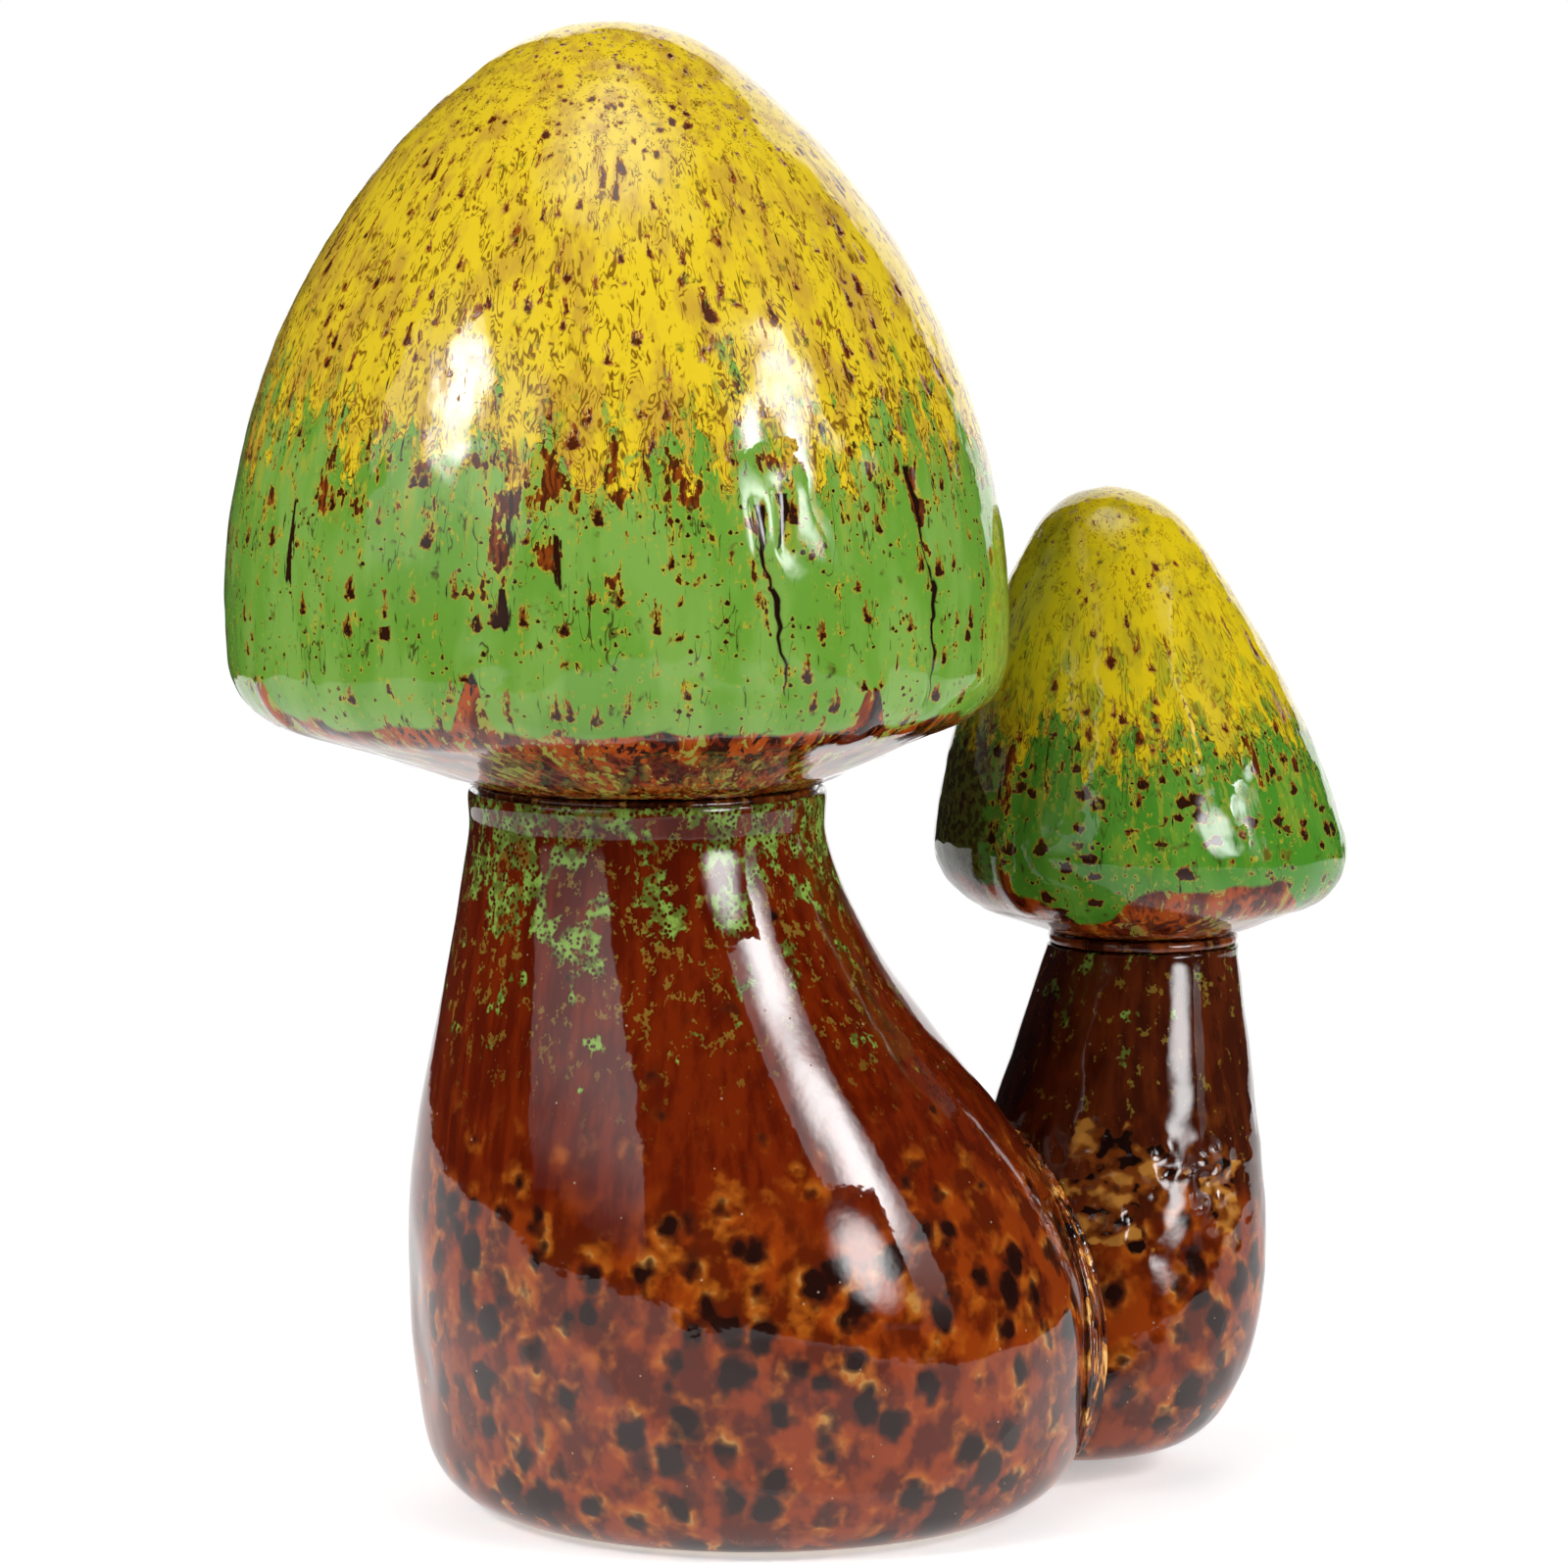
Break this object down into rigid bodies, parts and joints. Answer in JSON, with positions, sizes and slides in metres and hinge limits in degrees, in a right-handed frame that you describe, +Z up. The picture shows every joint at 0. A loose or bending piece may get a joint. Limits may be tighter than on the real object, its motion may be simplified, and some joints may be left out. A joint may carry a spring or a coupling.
{
  "type": "mushroom ornament",
  "caption": "Glazed ceramic table ornament: a large and a small mushroom joined at the foot, with drip-glazed yellow and green caps on glossy red-brown stems.",
  "frame": {"origin": "on the table, under the middle of the overall outline", "axes": "+X from the large mushroom to the small one, +Z up, the ornament is mirror-symmetric about the XZ plane"},
  "size_m": [0.1198, 0.078, 0.15],
  "materials": {
    "cap_glaze": "glossy reactive drip glaze, golden yellow over green with brown specks",
    "stem_glaze": "glossy red-brown glaze with a tortoiseshell mottle at the foot",
    "slip": "glazed clay slip, dark brown"
  },
  "bodies": {
    "root": {"large_cap": "cap_glaze", "large_neck_slip": "slip", "large_stem": "stem_glaze", "small_cap": "cap_glaze", "small_neck_slip": "slip", "small_stem": "stem_glaze", "stem_seam_slip": "slip"}
  },
  "joints": []
}
